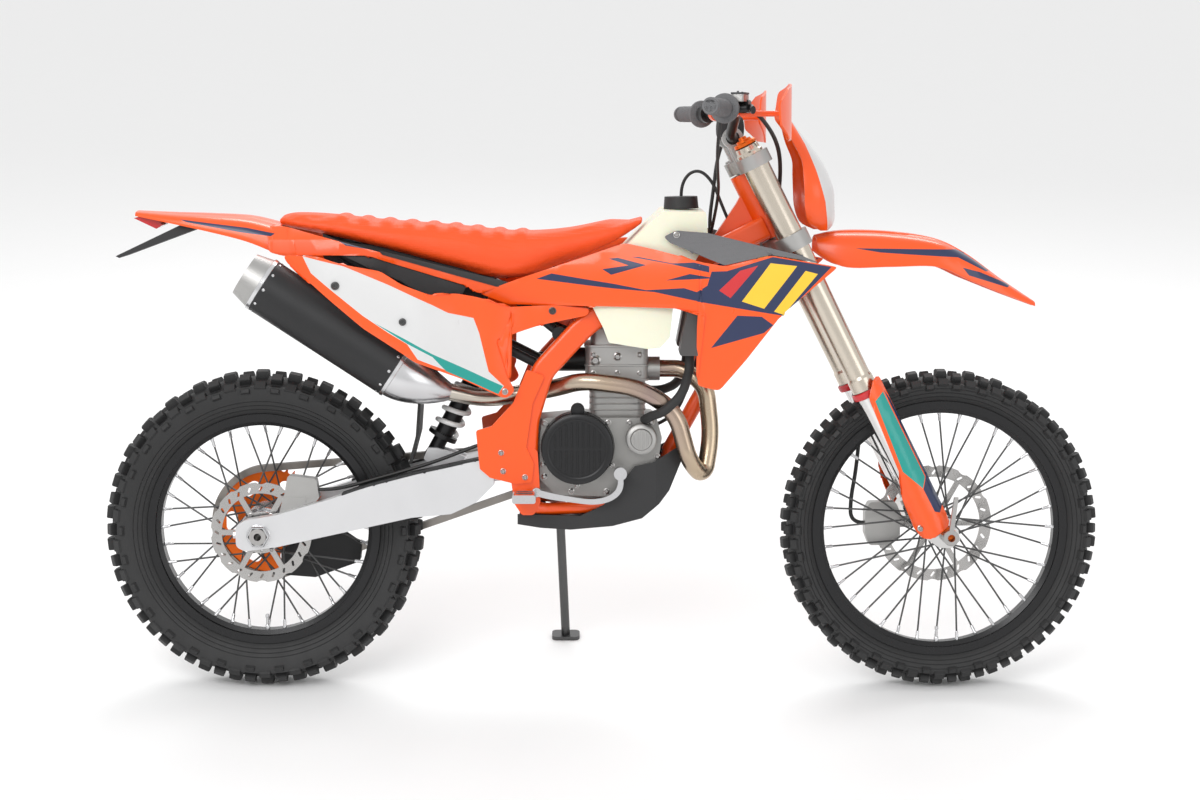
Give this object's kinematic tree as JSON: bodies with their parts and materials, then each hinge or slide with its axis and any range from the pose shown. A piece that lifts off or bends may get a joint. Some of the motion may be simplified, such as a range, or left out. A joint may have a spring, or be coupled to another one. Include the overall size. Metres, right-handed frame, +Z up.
{
  "type": "enduro motorcycle",
  "caption": "Enduro motorcycle leaning on its side stand, with laced wheels, long-travel fork, single-cylinder engine, chain drive and narrow bodywork.",
  "frame": {"origin": "centre of the bounding box at ground level", "axes": "+X forwards along the ground, +Y to the rider's left, +Z up; the bike leans 10 degrees to its left on its side stand"},
  "size_m": [2.1816, 0.8444, 1.3404],
  "materials": {
    "black_plastic": "grained",
    "black_metal": "anodised",
    "engine_grey": "cast",
    "cable_black": "sleeved",
    "cast_silver": "cast",
    "chain_steel": "oiled",
    "pipe_steel": "heat tinted",
    "orange_plastic": "moulded",
    "anodised_champagne": "anodised",
    "frame_orange": "satin",
    "bolt_steel": "satin",
    "disc_steel": "ground",
    "hub_silver": "machined",
    "rim_black": "anodised",
    "spoke_black": "black oxide",
    "steel_dark": "dark",
    "tyre": "knobbly",
    "tank_natural": "translucent look",
    "grey_rubber": "moulded",
    "white_plastic": "moulded",
    "black_rubber": "moulded",
    "radiator_alloy": "finned",
    "sprocket_orange": "anodised",
    "seat_cover": "grip cover",
    "shock_black": "satin",
    "spring_white": "gloss",
    "silencer_black": "satin",
    "red_lens": "moulded lens"
  },
  "bodies": {
    "chassis": {"airbox": "black_plastic", "chain_guide": "black_plastic", "clutch_cover": "engine_grey", "clutch_hose": "cable_black", "crankcase": "engine_grey", "cylinder": "cast_silver", "drive_chain": "chain_steel", "exhaust_header": "pipe_steel", "foot_controls": "cast_silver", "frame": "frame_orange", "frame_guards": "frame_orange", "front_sprocket": "steel_dark", "fuel_cap": "black_plastic", "fuel_tank": "tank_natural", "mud_flap": "black_rubber", "plate_bracket": "black_plastic", "radiator_hoses": "black_rubber", "radiators": "radiator_alloy", "rear_axle": "bolt_steel", "rear_brake_caliper": "black_metal", "rear_brake_hose": "cable_black", "rear_fender": "orange_plastic", "rear_master_cylinder": "black_metal", "seat": "seat_cover", "shock_absorber": "shock_black", "shock_spring": "spring_white", "side_panels": "white_plastic", "silencer": "silencer_black", "skid_plate": "black_plastic", "subframe": "cast_silver", "swingarm": "cast_silver", "tail_light": "red_lens", "tank_shrouds": "orange_plastic", "throttle_body": "black_metal", "throttle_cable": "cable_black"},
    "steering": {"bar_levers": "black_metal", "fork_guards": "orange_plastic", "fork_legs": "anodised_champagne", "fork_tubes": "anodised_champagne", "front_axle": "bolt_steel", "front_brake_caliper": "black_metal", "front_brake_hose": "cable_black", "front_fender": "orange_plastic", "grips": "grey_rubber", "hand_guards": "orange_plastic", "handlebar": "black_metal", "headlight_mask": "white_plastic", "triple_clamps": "black_metal"},
    "front_wheel": {"front_brake_disc": "disc_steel", "front_hub": "hub_silver", "front_rim": "rim_black", "front_spokes": "spoke_black", "front_tyre": "tyre"},
    "rear_wheel": {"rear_brake_disc": "disc_steel", "rear_hub": "hub_silver", "rear_rim": "rim_black", "rear_spokes": "spoke_black", "rear_sprocket": "sprocket_orange", "rear_tyre": "tyre"},
    "side_stand": {"side_stand": "bolt_steel"}
  },
  "joints": [
    {"name": "steering", "type": "hinge", "parent": "chassis", "child": "steering", "pos_m": [0.70267, -0.1621, 0.32705], "axis": [-0.4462, 0.1554, 0.8813], "range_deg": [-44.7, 39.3], "deforming": ["throttle_cable", "clutch_hose"]},
    {"name": "front_wheel_spin", "type": "hinge", "parent": "steering", "child": "front_wheel", "pos_m": [0.74111, -0.15678, 0.34557], "axis": [-0.0422, 0.9801, -0.1942], "continuous": true},
    {"name": "rear_wheel_spin", "type": "hinge", "parent": "chassis", "child": "rear_wheel", "pos_m": [-0.74085, -0.15877, 0.34594], "axis": [0, 0.9848, -0.1736], "continuous": true},
    {"name": "side_stand_fold", "type": "hinge", "parent": "chassis", "child": "side_stand", "pos_m": [-0.09585, -0.02774, 0.36345], "axis": [0.2295, 0.9522, 0.2015], "range_deg": [0, 98.36]}
  ]
}
